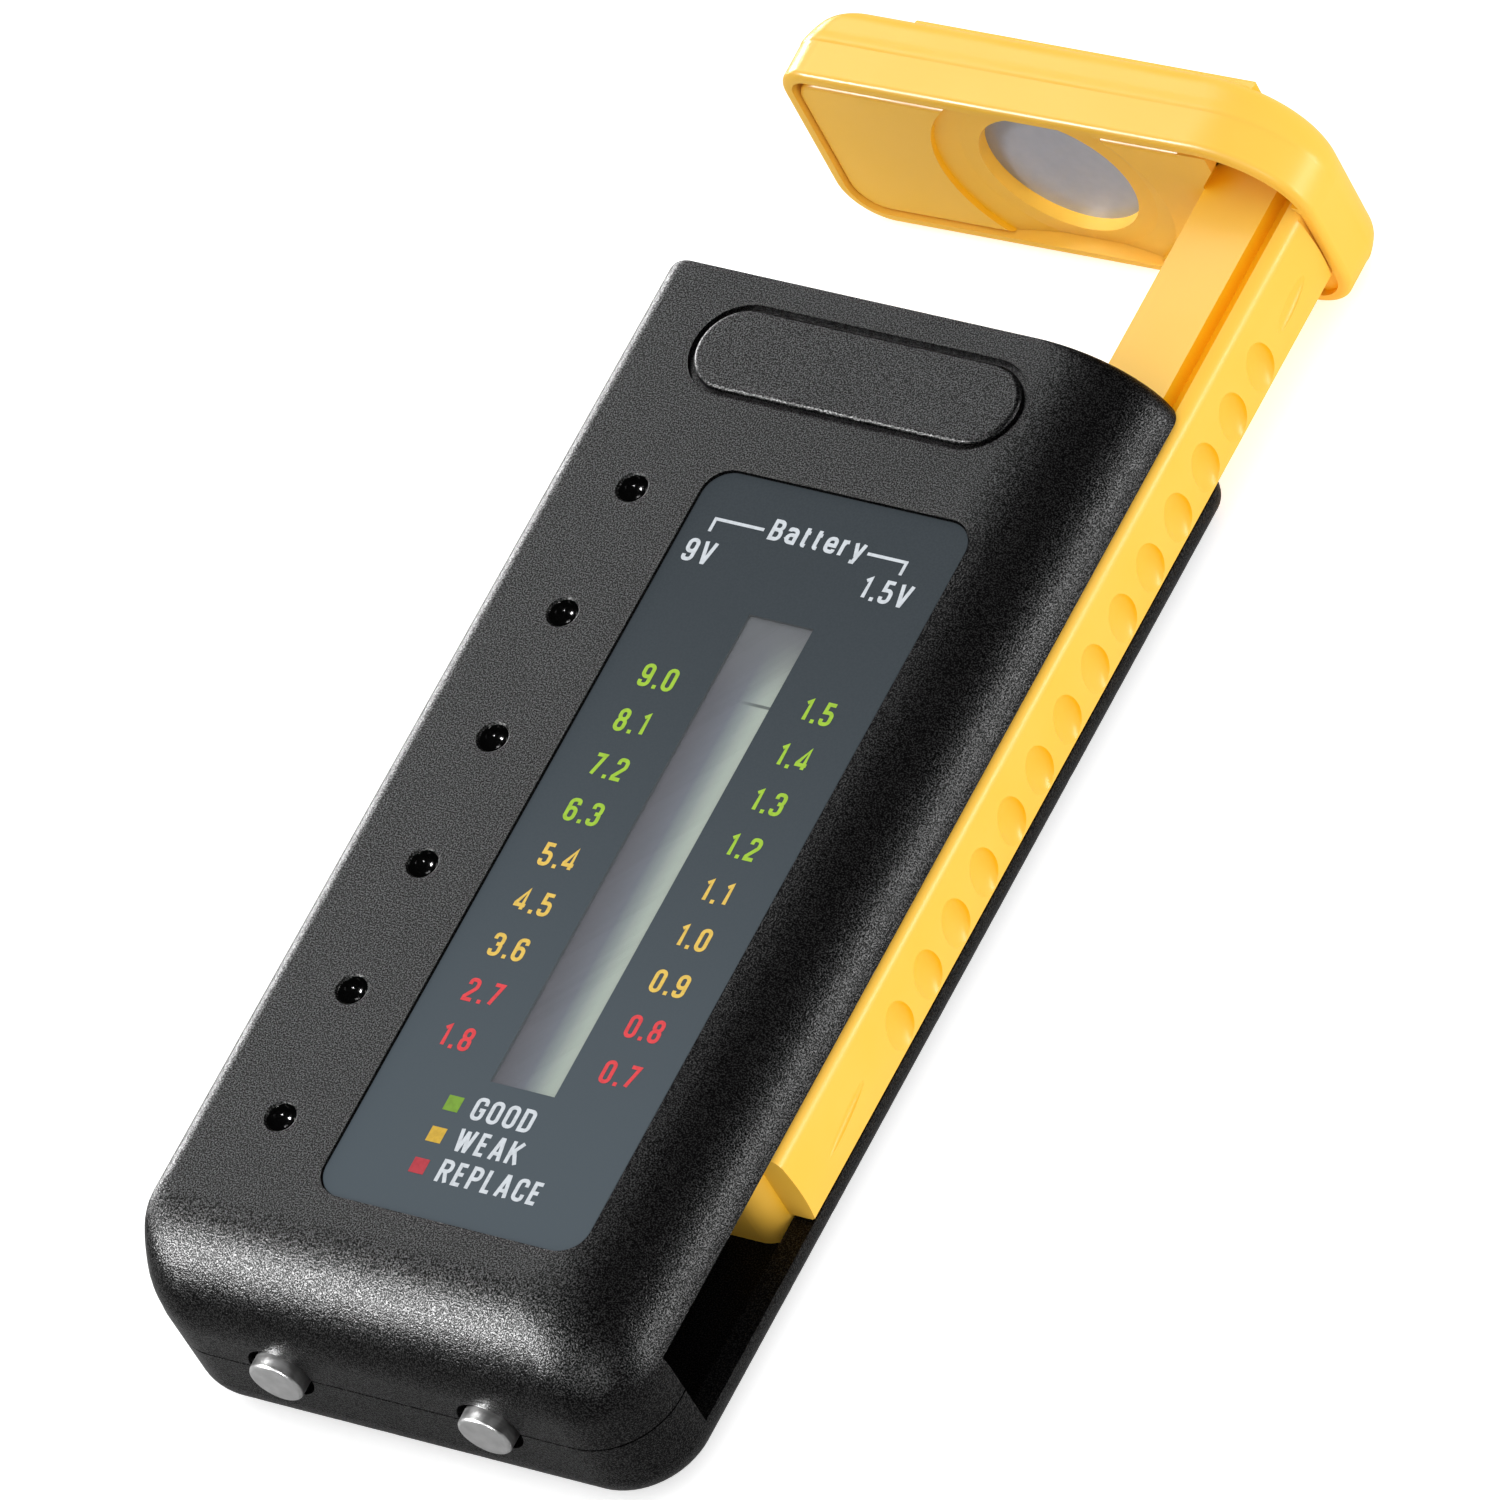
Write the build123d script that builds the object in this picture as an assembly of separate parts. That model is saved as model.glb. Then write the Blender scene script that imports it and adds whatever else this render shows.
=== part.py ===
from build123d import *
from math import cos, radians, sin, sqrt
import os

# Pocket battery tester, millimetres.  It lies on its back:
# +X to the sliding arm, +Y to the hook end, +Z out of the scale face.
# The origin is the centre of the flat back face.

# Housing
WIDTH = 50.0
LENGTH = 105.0
HEIGHT = 20.4
WALL = 2.0
PART_Z = 9.5            # split between front and rear shells
RIGHT_ROUND = 10.4      # how far the front rounding reaches in from the right side
END_ROUND = 9.0         # the same at the stud end
ROUND_DROP = 7.6        # how far both roundings drop
LEFT_ROUND = 1.6
BACK_ROUND = 4.5
X0, X1 = -WIDTH / 2, WIDTH / 2
Y0, Y1 = -LENGTH / 2, LENGTH / 2

# Slot and guides for the arm
SLOT_Y0 = -44.8
SLOT_Z0, SLOT_Z1 = 4.7, 14.2
GUIDE_X0, GUIDE_X1 = 14.0, 15.6
CHANNEL_Z0 = 2.4
GUIDE_Z1 = 14.05

# Scale face
LABEL_X, LABEL_Y = 3.2, -3.45
LABEL_W, LABEL_L = 26.7, 74.5
LABEL_R = 2.6
LABEL_T = 0.3
LABEL_SUNK = 0.25
WINDOW_X, WINDOW_Y = 3.55, -3.0
WINDOW_W, WINDOW_L = 6.5, 48.0
PAD_X, PAD_Y = -1.7, 45.1
PAD_W, PAD_H = 33.4, 9.4
PAD_GROOVE = 0.55
PAD_RISE = 0.25
DIMPLE_X, DIMPLE_Y0, DIMPLE_STEP = -16.5, 30.1, 13.0
DIMPLE_COUNT = 6
DIMPLE_R = 1.3

# Nine volt studs
STUD_XS = (-11.6, 9.6)
STUD_Z = PART_Z
STUD_R = 2.5
STUD_HOLE_R = 3.1
STUD_OUT = 1.2
STUD_NECK_R = 1.5

# Arm
RAIL_X0, RAIL_X1 = 15.7, 22.8
RAIL_Z0, ARM_Z1 = 2.45, 14.0
RAIL_Y0 = -26.6
GROOVE_X0, GROOVE_X1, GROOVE_Z = 22.35, 23.3, 12.2
GROOVE_EDGE_X = 24.0     # the outer side of the groove slopes out to here
FLANGE_X1, FLANGE_Z0 = 25.3, 5.0
FLANGE_Y0 = -24.7
ARM_Y1 = 78.0
NOTCH_Y0, NOTCH_STEP, NOTCH_COUNT = 60.9, 5.24, 14
NOTCH_Z = 8.2
RELEASE_Y = 21.0        # rib that stops the arm from leaving the housing
STOP_H = 1.4

# Hook, drawn square and then leaned as a whole
CAP_X0, CAP_X1 = -25.0, 26.5
CAP_Y0, CAP_Y1 = 73.1, 81.1
CAP_WALL = 1.1
CAP_CORNER = 4.2
CAP_FRONT_R = 3.0
RIM_ROUND = 0.6
TOP_ROUND = 1.5
RAISED_X0, RAISED_X1, RAISED_H = -15.0, 19.0, 0.5
RAISED_INSET = 1.2
HOOK = Pos(20, CAP_Y0, 10.5) * Rot(-1.8, 0, 1.9) * Pos(-20, -CAP_Y0, -10.2)
PLATE_Y0, PLATE_Y1 = 73.5, 75.9
PLATE_GAP = 1.0
WELL_X, WELL_Z = -0.9, 9.9
WELL_R, WELL_DEPTH = 11.45, 1.1
CONTACT_HOLE_R = 7.5
WELL_SLOPE = 2.2         # how far in the floor of the well starts
SOCKET_GAP = 0.06
SOCKET_X1 = 25.06
TAB_X, TAB_Z = 17.5, 16.5    # corner of the plate where it passes in front of the arm

# Contacts on the slider
DISC_R, DISC_T = 8.8, 0.6
STRIP_W, STRIP_T = 4.0, 0.3
STRIP_Z = 8.5
STRIP_Y0 = -8.0
WIPER_Y = 38.0

# Electronics
BOARD_X0, BOARD_X1 = -15.5, 13.2
BOARD_Y0, BOARD_Y1 = -42.0, 40.0
BOARD_Z0, BOARD_Z1 = 12.0, 13.2
BOARD_POSTS = ((-13.4, -33.5), (-13.4, 33.0), (11.4, -33.5), (8.0, 37.0))
LCD_W, LCD_L, LCD_T = 9.4, 52.0, 1.8
SCREW_SPOTS = ((-19.6, 46.0), (9.8, 46.5), (-1.0, -45.5))
SCREW_HEAD_R, SCREW_R = 2.1, 1.1
SCREW_POST_R = 3.6       # wide enough to run into the side wall

# Contact on the hook end of the housing
BASE_X, BASE_Z, BASE_R = -0.9, 9.9, 6.5


def box(x0, x1, y0, y1, z0, z1):
    return Pos((x0 + x1) / 2, (y0 + y1) / 2, (z0 + z1) / 2) * Box(x1 - x0, y1 - y0, z1 - z0)


def rod_y(x, z, y0, y1, radius):
    return Pos(x, (y0 + y1) / 2, z) * Rot(90, 0, 0) * Cylinder(radius, y1 - y0)


def rod_z(x, y, z0, z1, radius):
    return Pos(x, y, (z0 + z1) / 2) * Cylinder(radius, z1 - z0)


def corner(x, y, rx, ry, start):
    if abs(rx - ry) < 1e-6:
        return CenterArc((x, y), rx, start, 90)
    return EllipticalCenterArc((x, y), rx, ry, start_angle=start, arc_size=90)


def outline(x0, x1, y0, y1, ne, nw, sw, se):
    """Flat face with a rounded corner (rx, ry) at each of its four corners."""
    edges = [
        corner(x1 - ne[0], y1 - ne[1], ne[0], ne[1], 0),
        Line((x1 - ne[0], y1), (x0 + nw[0], y1)),
        corner(x0 + nw[0], y1 - nw[1], nw[0], nw[1], 90),
        Line((x0, y1 - nw[1]), (x0, y0 + sw[1])),
        corner(x0 + sw[0], y0 + sw[1], sw[0], sw[1], 180),
        Line((x0 + sw[0], y0), (x1 - se[0], y0)),
        corner(x1 - se[0], y0 + se[1], se[0], se[1], 270),
        Line((x1, y0 + se[1]), (x1, y1 - ne[1])),
    ]
    return make_face(Wire(edges))


def plan(inset, left, end, right, side_r, top_right):
    """Plan outline of the housing, pulled in by the roundings at one level."""
    shrink = 0.45 * max(left, right)
    bottom_left = max(6.0 - inset - shrink, 0.8)
    bottom_right = max(side_r - inset - shrink, 0.8)
    top = max(top_right - inset, 0.4)
    return outline(
        X0 + inset + left, X1 - inset - right, Y0 + inset + end, Y1 - inset,
        (top, top), (0.8, 0.8), (bottom_left, bottom_left), (bottom_right, bottom_right),
    )


def housing(inset):
    """Outer body of the housing, or its hollow when an inset is given."""
    z0, z1 = inset, HEIGHT - inset
    back_r = BACK_ROUND - inset
    drop = ROUND_DROP - inset
    left_r = max(LEFT_ROUND - inset, 0.3)
    back = []
    for angle in (0, 12, 25, 40, 55, 72, 90):
        pull = back_r * (1 - sin(radians(angle)))
        level = z0 + back_r * (1 - cos(radians(angle)))
        back.append(Pos(0, 0, level) * plan(inset, pull, pull, pull, 7.0, 2.0))
    front = []
    for angle in (0, 15, 30, 45, 56, 65, 72, 78, 83, 87, 90):
        rise = drop * sin(radians(angle))
        level = z1 - drop + rise
        over = max(rise - (drop - left_r), 0)
        left = left_r - sqrt(max(left_r**2 - over**2, 0))
        end = (END_ROUND - inset) * (1 - cos(radians(angle)))
        right = (RIGHT_ROUND - inset) * (1 - cos(radians(angle)))
        front.append(Pos(0, 0, level) * plan(inset, left, end, right, 7.0, 2.0))
    middle = extrude(back[-1], z1 - drop - z0 - back_r)
    return loft(back) + middle + loft(front)


def bar(points, y0, y1):
    """Straight bar along Y from a closed XZ outline."""
    face = make_face(Polyline(*points, close=True))
    return extrude(Pos(0, y0, 0) * Rot(90, 0, 0) * face, y1 - y0, dir=(0, 1, 0))


def stadium(x, y, w, h, z0, z1):
    face = Pos(x, y, z0) * SlotOverall(w, h)
    return extrude(face, z1 - z0)


def tablet(x, y, w, h, r, z0, z1):
    return extrude(Pos(x, y, z0) * RectangleRounded(w, h, r), z1 - z0)


def ellipsoid(x, y, z, rx, ry, rz, turn):
    return Pos(x, y, z) * turn * scale(Sphere(1), (rx, ry, rz))


# ---------------------------------------------------------------- shells
outer = housing(0)
hollow = housing(WALL)
shell = outer - hollow
shell -= box(GUIDE_X1, RAIL_X1 + 0.1, -48, Y1 + 1, CHANNEL_Z0, GUIDE_Z1)
shell -= box(RAIL_X1, 30, SLOT_Y0, Y1 + 1, SLOT_Z0, SLOT_Z1)
guide_wall = box(GUIDE_X0, GUIDE_X1, Y0 + 1, Y1 - 1, 1, HEIGHT - 1)
guide_wall -= box(GUIDE_X0 - 1, GUIDE_X1 + 1, WIPER_Y - 4.5, WIPER_Y + 3.5, 6.0, 11.4)
shell += guide_wall & outer
for x in STUD_XS:
    shell -= rod_y(x, STUD_Z, Y0 - 1, Y0 + WALL + 0.1, STUD_HOLE_R)

front = shell & box(-40, 40, -60, 60, PART_Z, 30)
lip = box(22.45, 23.2, SLOT_Y0, Y1, GROOVE_Z + 0.1, HEIGHT - 1)
front += lip & outer
for y in (RELEASE_Y + 0.7, RELEASE_Y + 15):
    front += box(GUIDE_X1 - 0.1, 22.6, y - 0.7, y + 0.7, GUIDE_Z1, HEIGHT - 1) & outer
for x, y in SCREW_SPOTS:
    front += rod_z(x, y, PART_Z, HEIGHT - 1.5, 2.6)
    front -= rod_z(x, y, PART_Z - 1, 16.2, SCREW_R + 0.02)
for x, y in BOARD_POSTS:
    front += rod_z(x, y, BOARD_Z1, HEIGHT - 1.5, 1.5)

label_top = HEIGHT - LABEL_SUNK
label_floor = label_top - LABEL_T
front -= tablet(LABEL_X, LABEL_Y, LABEL_W + 0.2, LABEL_L + 0.2, LABEL_R, label_floor, HEIGHT + 1)
front -= box(WINDOW_X - LCD_W / 2 - 0.1, WINDOW_X + LCD_W / 2 + 0.1,
             WINDOW_Y - LCD_L / 2 - 0.1, WINDOW_Y + LCD_L / 2 + 0.1, HEIGHT - 3, HEIGHT)
pad = stadium(PAD_X, PAD_Y, PAD_W - 2 * PAD_GROOVE, PAD_H - 2 * PAD_GROOVE,
              HEIGHT - 0.6, HEIGHT + PAD_RISE)
pad = fillet(pad.edges().group_by(Axis.Z)[-1], 0.45)
front -= stadium(PAD_X, PAD_Y, PAD_W, PAD_H, HEIGHT - 0.5, HEIGHT + 1)
front += pad
for i in range(DIMPLE_COUNT):
    y = DIMPLE_Y0 - i * DIMPLE_STEP
    front -= Pos(DIMPLE_X, y, HEIGHT - 0.1) * Sphere(DIMPLE_R)
    front -= Pos(DIMPLE_X, y, HEIGHT - 0.15) * Cone(DIMPLE_R - 0.1, DIMPLE_R + 0.25, 0.3)

rear = shell & box(-40, 40, -60, 60, -1, PART_Z)
rear += box(GUIDE_X1 - 0.1, RAIL_X1 + 0.2, Y0 + 1, Y1, 1, CHANNEL_Z0) & outer
rear += box(RAIL_X1 + 0.1, 24, SLOT_Y0, Y1, 1, SLOT_Z0) & outer
rear -= box(-40, 40, -60, 60, PART_Z - 0.2, PART_Z) - housing(0.25)
for x, y in SCREW_SPOTS:
    rear += rod_z(x, y, 1, PART_Z, SCREW_POST_R) & (outer - rod_z(x, y, -1, PART_Z, 0.5))
    rear -= rod_z(x, y, -1, 3.5, SCREW_HEAD_R + 0.2)
    rear -= rod_z(x, y, 3, PART_Z + 1, SCREW_R + 0.2)
for x, y in BOARD_POSTS:
    rear += rod_z(x, y, 1, BOARD_Z0, 1.5)
for x in STUD_XS:
    rear += box(x - 4, x + 4, Y0 + 3.6, Y0 + 4.8, 1, 7)

# Seat of the end contact and the slot for its tail
seat = rod_y(BASE_X, BASE_Z, Y1 - 0.6, Y1 + 1, BASE_R + 0.1)
tail_slot = box(BASE_X - 1.6, BASE_X + 1.6, Y1 - 3, Y1, 11.4, 12.1)
front = front - seat - tail_slot
rear = rear - seat

# ---------------------------------------------------------------- scale face
window = box(WINDOW_X - WINDOW_W / 2, WINDOW_X + WINDOW_W / 2,
             WINDOW_Y - WINDOW_L / 2, WINDOW_Y + WINDOW_L / 2, label_floor, label_top)
gauge_label = tablet(LABEL_X, LABEL_Y, LABEL_W, LABEL_L, LABEL_R, label_floor, label_top) - window
display_window = window
lcd_z0 = label_floor - LCD_T
lcd_x0, lcd_x1 = WINDOW_X - LCD_W / 2, WINDOW_X + LCD_W / 2
lcd_y0, lcd_y1 = WINDOW_Y - LCD_L / 2, WINDOW_Y + LCD_L / 2
lcd_panel = box(lcd_x0, lcd_x1, lcd_y0, lcd_y1, lcd_z0, label_floor)
zebra_strip = box(lcd_x0 + 0.3, lcd_x0 + 2.1, lcd_y0 + 2, lcd_y1 - 2, BOARD_Z1, lcd_z0)
lcd_reflector = box(lcd_x0 + 2.4, lcd_x1 - 0.2, lcd_y0 + 1, lcd_y1 - 1, lcd_z0 - 0.2, lcd_z0)
lcd_holder = box(lcd_x0 - 1.6, lcd_x1 + 1.6, lcd_y0 - 1.5, lcd_y1 + 1.5, BOARD_Z1, HEIGHT - WALL)
lcd_holder -= box(lcd_x0 - 0.1, lcd_x1 + 0.1, lcd_y0 - 0.1, lcd_y1 + 0.1, lcd_z0, HEIGHT)
lcd_holder -= box(lcd_x0 + 0.2, lcd_x0 + 2.2, lcd_y0 + 1.9, lcd_y1 - 1.9, 10, HEIGHT)
lcd_holder -= box(lcd_x0 + 2.3, lcd_x1 - 0.1, lcd_y0 + 0.9, lcd_y1 - 0.9, lcd_z0 - 0.2, HEIGHT)

# ---------------------------------------------------------------- electronics
circuit_board = box(BOARD_X0, BOARD_X1, BOARD_Y0, BOARD_Y1, BOARD_Z0, BOARD_Z1)
lead_holes = ((-9.0, -12.0), (-9.0, -22.0))
load_resistor = rod_y(-9.0, BOARD_Z0 - 1.5, -20.3, -13.7, 1.3)
for x, y in lead_holes:
    circuit_board -= rod_z(x, y, BOARD_Z0 - 1, BOARD_Z1 + 1, 0.4)
    load_resistor += rod_z(x, y, BOARD_Z0 - 1.8, BOARD_Z1 + 0.4, 0.3)
load_resistor += rod_y(-9.0, BOARD_Z0 - 1.5, -22.0, -12.0, 0.3)
chip_cover = Pos(1.0, 8.0, BOARD_Z0 - 0.6) * Cylinder(5.0, 1.2)
chip_cover = fillet(chip_cover.edges().group_by(Axis.Z)[0], 0.9)
chip_resistors = [box(x - 1, x + 1, 21.4, 22.6, BOARD_Z0 - 0.5, BOARD_Z0) for x in (-8, -4.5, -1, 2.5)]
chip_resistors += [box(8.4, 9.6, y - 1, y + 1, BOARD_Z0 - 0.5, BOARD_Z0) for y in (-4, 0, 4)]
chip_capacitors = [box(x - 1, x + 1, -6.7, -5.3, BOARD_Z0 - 0.9, BOARD_Z0) for x in (-4, 0)]

# ---------------------------------------------------------------- metal contacts
stud_y0 = Y0 - STUD_OUT
stud_parts = {}
for side, x in zip(("left", "right"), STUD_XS):
    stud = rod_y(x, STUD_Z, stud_y0, Y0 + 2.1, STUD_R)
    stud = fillet(stud.edges().group_by(Axis.Y)[0], 0.35)
    stud += rod_y(x, STUD_Z, Y0 + 2.05, Y0 + 3.05, 4.2)
    stud += rod_y(x, STUD_Z, Y0 + 3.0, Y0 + 6.5, STUD_NECK_R)
    stud_parts["stud_" + side] = stud
    clip = box(x - 3.5, x + 3.5, Y0 + 3.05, Y0 + 3.55, 5.5, BOARD_Z0)
    clip -= rod_y(x, STUD_Z, Y0 + 3, Y0 + 4, STUD_NECK_R + 0.02)
    clip += box(x - 1, x + 1, Y0 + 3.05, BOARD_Y0 + 4, BOARD_Z0 - 0.3, BOARD_Z0)
    stud_parts["stud_clip_" + side] = clip

base_contact = rod_y(BASE_X, BASE_Z, Y1 - 0.6, Y1, BASE_R)
base_contact += rod_y(BASE_X, BASE_Z, Y1 - 0.1, Y1 + 0.6, 4.0)
base_contact = fillet(base_contact.edges().group_by(Axis.Y)[-1], 0.4)
base_contact += box(BASE_X - 1.5, BASE_X + 1.5, BOARD_Y1 - 3, Y1 - 0.1, BOARD_Z0 - 0.5, BOARD_Z0)

wiper_line = Polyline((12.85, WIPER_Y - 5.5), (15.35, WIPER_Y - 0.6), (15.35, WIPER_Y + 0.6), (14.3, WIPER_Y + 3.2))
wiper_face = trace(wiper_line, 0.3)
wiper_spring = extrude(Pos(0, 0, STRIP_Z - 1.3) * wiper_face, 2.6)
wiper_spring += box(12.7, 13.0, WIPER_Y - 7.5, WIPER_Y - 5.3, STRIP_Z - 1.3, BOARD_Z0)
wiper_spring += box(10.0, 13.0, WIPER_Y - 7.5, WIPER_Y - 5.3, BOARD_Z0 - 0.3, BOARD_Z0)

case_screws = []
for x, y in SCREW_SPOTS:
    head = rod_z(x, y, 1.7, 3.5, SCREW_HEAD_R) - box(x - 1.3, x + 1.3, y - 0.3, y + 0.3, 0, 2.5)
    head -= box(x - 0.3, x + 0.3, y - 1.3, y + 1.3, 0, 2.5)
    case_screws.append(head + rod_z(x, y, 3.4, 15.5, SCREW_R))

# ---------------------------------------------------------------- sliding arm
rail = bar(
    [(RAIL_X0, RAIL_Z0), (RAIL_X1, RAIL_Z0), (RAIL_X1, GROOVE_Z), (GROOVE_X0, GROOVE_Z),
     (GROOVE_X0, ARM_Z1), (RAIL_X0, ARM_Z1)],
    RAIL_Y0, ARM_Y1)
rail = fillet(rail.edges().filter_by(Axis.Z).group_by(Axis.Y)[0].group_by(Axis.X)[-1], 3.0)
flange_line = [
    Line((RAIL_X1 - 0.3, FLANGE_Z0), (24.9, FLANGE_Z0)),
    Line((24.9, FLANGE_Z0), (FLANGE_X1, FLANGE_Z0 + 0.35)),
    ThreePointArc((FLANGE_X1, FLANGE_Z0 + 0.35), (FLANGE_X1 + 0.3, 8.9), (FLANGE_X1, 12.3)),
    ThreePointArc((FLANGE_X1, 12.3), (24.9, 13.3), (GROOVE_EDGE_X, 13.8)),
    Line((GROOVE_EDGE_X, 13.8), (GROOVE_X1, GROOVE_Z)),
    Line((GROOVE_X1, GROOVE_Z), (RAIL_X1 - 0.3, GROOVE_Z)),
    Line((RAIL_X1 - 0.3, GROOVE_Z), (RAIL_X1 - 0.3, FLANGE_Z0)),
]
flange_face = Pos(0, FLANGE_Y0, 0) * Rot(90, 0, 0) * make_face(Wire(flange_line))
flange = extrude(flange_face, ARM_Y1 - FLANGE_Y0, dir=(0, 1, 0))
flange -= box(25.0, 30, CAP_Y0 - 0.2, ARM_Y1 + 1, 0, 20)
arm = rail + flange
arm += box(GROOVE_X0 - 0.1, GROOVE_EDGE_X, ARM_Y1 - 1.5, ARM_Y1, GROOVE_Z - 0.5, 13.7)
arm += box(RAIL_X0 + 0.5, 21.5, RAIL_Y0 + 2, RAIL_Y0 + 4, ARM_Z1 - 1, ARM_Z1 + STOP_H)
lean = Rot(0, 0, 18)
for i in range(NOTCH_COUNT):
    arm -= ellipsoid(FLANGE_X1 + 0.6, NOTCH_Y0 - i * NOTCH_STEP, NOTCH_Z, 1.1, 2.1, 2.9, lean)
arm -= ellipsoid(FLANGE_X1 + 0.42, -16.8, 8.7, 0.45, 3.9, 0.6, Rot(8, 0, 0))
arm -= ellipsoid(FLANGE_X1 + 0.42, 67.3, 8.9, 0.45, 2.9, 0.9, Rot(8, 0, 0))
arm -= box(RAIL_X0 - 1, RAIL_X0 + 0.4, STRIP_Y0 - 0.1, 77.5, STRIP_Z - STRIP_W / 2 - 0.05,
           STRIP_Z + STRIP_W / 2 + 0.05)


def hook_level(y, sides, faces, wall=0.0):
    """One XZ outline of the hook at height y, pulled in at its sides and faces."""
    ne = (RIGHT_ROUND - wall - sides * 0.5, ROUND_DROP - wall - faces)
    nw = CAP_FRONT_R - wall
    back = BACK_ROUND - wall - 0.3 * sides
    face = outline(CAP_X0 + wall + sides, CAP_X1 - wall - sides, wall + faces, HEIGHT - wall - faces,
                   ne, (nw, nw), (back, back), (back, back))
    return Pos(0, y, 0) * Rot(90, 0, 0) * face


def hook_outer(top):
    rim = []
    for angle in (0, 30, 60, 90):
        pull = RIM_ROUND * (1 - sin(radians(angle)))
        rim.append(hook_level(CAP_Y0 + RIM_ROUND * (1 - cos(radians(angle))), pull, pull))
    crown = []
    for angle in (0, 15, 30, 45, 58, 70, 80, 90):
        rise = CAP_CORNER * sin(radians(angle))
        over = max(rise - (CAP_CORNER - TOP_ROUND), 0)
        faces = TOP_ROUND - sqrt(TOP_ROUND**2 - over**2)
        crown.append(hook_level(top - CAP_CORNER + rise, CAP_CORNER * (1 - cos(radians(angle))), faces))
    wall = extrude(rim[-1], top - CAP_CORNER - CAP_Y0 - RIM_ROUND, dir=(0, 1, 0))
    return loft(rim) + wall + loft(crown)


cap_shell = hook_outer(CAP_Y1)
raised = box(RAISED_X0, RAISED_X1, CAP_Y1 - 0.8, CAP_Y1 + RAISED_H, RAISED_INSET, HEIGHT - RAISED_INSET)
cap_shell += fillet(raised.edges().group_by(Axis.Y)[-1], 0.3)
hook_hollow = extrude(hook_level(CAP_Y0 - 1, 0, 0, CAP_WALL), CAP_Y1 - 1.6 - CAP_Y0 + 1, dir=(0, 1, 0))
cap_shell -= hook_hollow
pin_spots = ((-19.5, 5.5), (-19.5, 14.8), (11.6, 3.4), (12.0, 16.4))
for x, z in pin_spots:
    cap_shell += rod_y(x, z, PLATE_Y1, CAP_Y1 - 1, 1.7)
    cap_shell += rod_y(x, z, PLATE_Y0 + 0.8, PLATE_Y1 + 0.1, 0.9)
cap_shell = HOOK * cap_shell

# Socket in the cover that holds the end of the arm
arm_hole = bar(
    [(0, -5), (RAIL_X1 + SOCKET_GAP, -5), (RAIL_X1 + SOCKET_GAP, FLANGE_Z0 - SOCKET_GAP),
     (SOCKET_X1, FLANGE_Z0 - SOCKET_GAP), (SOCKET_X1, 13.2), (24.3, ARM_Z1 + SOCKET_GAP),
     (0, ARM_Z1 + SOCKET_GAP)],
    60, ARM_Y1 + SOCKET_GAP)
socket = box(RAIL_X0 + SOCKET_GAP, 30, PLATE_Y1 + 0.3, 90, ARM_Z1, 30)
socket += box(RAIL_X1, 30, PLATE_Y0, 90, -5, ARM_Z1)
cap_shell += socket & (HOOK * hook_hollow) - arm_hole

plate_face = outline(CAP_X0 + CAP_WALL + 0.05, RAIL_X0 + 1, CAP_WALL + 0.05, HEIGHT - CAP_WALL - PLATE_GAP,
                     (0.5, 0.5), (2.0, 2.0), (3.3, 3.3), (0.5, 0.5))
plate = extrude(Pos(0, PLATE_Y0, 0) * Rot(90, 0, 0) * plate_face, PLATE_Y1 - PLATE_Y0, dir=(0, 1, 0))
plate = fillet(plate.edges().group_by(Axis.Y)[0].sort_by(Axis.Z)[-1], 0.5)
plate -= rod_y(WELL_X, WELL_Z, PLATE_Y0 - 1, PLATE_Y0 + WELL_DEPTH / 2, WELL_R)
plate -= Pos(WELL_X, PLATE_Y0 + WELL_DEPTH * 0.75, WELL_Z) * Rot(90, 0, 0) * Cone(WELL_R - WELL_SLOPE, WELL_R, WELL_DEPTH / 2)
plate -= rod_y(WELL_X, WELL_Z, PLATE_Y0, PLATE_Y1 + 1, CONTACT_HOLE_R)
for x, z in pin_spots:
    plate -= rod_y(x, z, PLATE_Y0 + 0.7, PLATE_Y1 + 1, 0.92)
strip_path = box(RAIL_X0 - 0.6, RAIL_X0 + 0.4, 60, 77.5, STRIP_Z - STRIP_W / 2 - 0.05,
                 STRIP_Z + STRIP_W / 2 + 0.05)
tab = bar(
    [(RAIL_X0 - 1, ARM_Z1 - 0.5), (RAIL_X0, ARM_Z1 - 0.5), (RAIL_X0, ARM_Z1), (TAB_X, TAB_Z),
     (TAB_X, HEIGHT - CAP_WALL - PLATE_GAP), (RAIL_X0 - 1, HEIGHT - CAP_WALL - PLATE_GAP)],
    PLATE_Y0, PLATE_Y1)
arm_bracket = arm + (HOOK * plate - box(RAIL_X0, 30, 60, 90, -5, 30)) - strip_path
arm_bracket += HOOK * tab - box(RAIL_X0, 30, 60, 90, -5, ARM_Z1)

# ---------------------------------------------------------------- slider contacts
contact_disc = HOOK * rod_y(WELL_X, WELL_Z, PLATE_Y1, PLATE_Y1 + DISC_T, DISC_R)
disc_top = PLATE_Y1 + DISC_T
contact_strip = box(RAIL_X0 + 0.05, RAIL_X0 + 0.05 + STRIP_T, STRIP_Y0, disc_top + 0.1,
                    STRIP_Z - STRIP_W / 2, STRIP_Z + STRIP_W / 2)
contact_strip += HOOK * box(2, RAIL_X0 + 0.2, disc_top, disc_top + STRIP_T,
                            STRIP_Z - STRIP_W / 2, STRIP_Z + STRIP_W / 2)

parts = {
    "front_shell": front,
    "rear_shell": rear,
    "gauge_label": gauge_label,
    "display_window": display_window,
    "lcd_panel": lcd_panel,
    "lcd_reflector": lcd_reflector,
    "lcd_holder": lcd_holder,
    "zebra_strip": zebra_strip,
    "circuit_board": circuit_board,
    "chip_cover": chip_cover,
    "chip_resistors": Compound(chip_resistors),
    "chip_capacitors": Compound(chip_capacitors),
    "load_resistor": load_resistor,
    "base_contact": base_contact,
    "wiper_spring": wiper_spring,
    "case_screws": Compound(case_screws),
    "arm_bracket": arm_bracket,
    "cap_shell": cap_shell,
    "contact_disc": contact_disc,
    "contact_strip": contact_strip,
}
parts.update(stud_parts)

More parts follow.
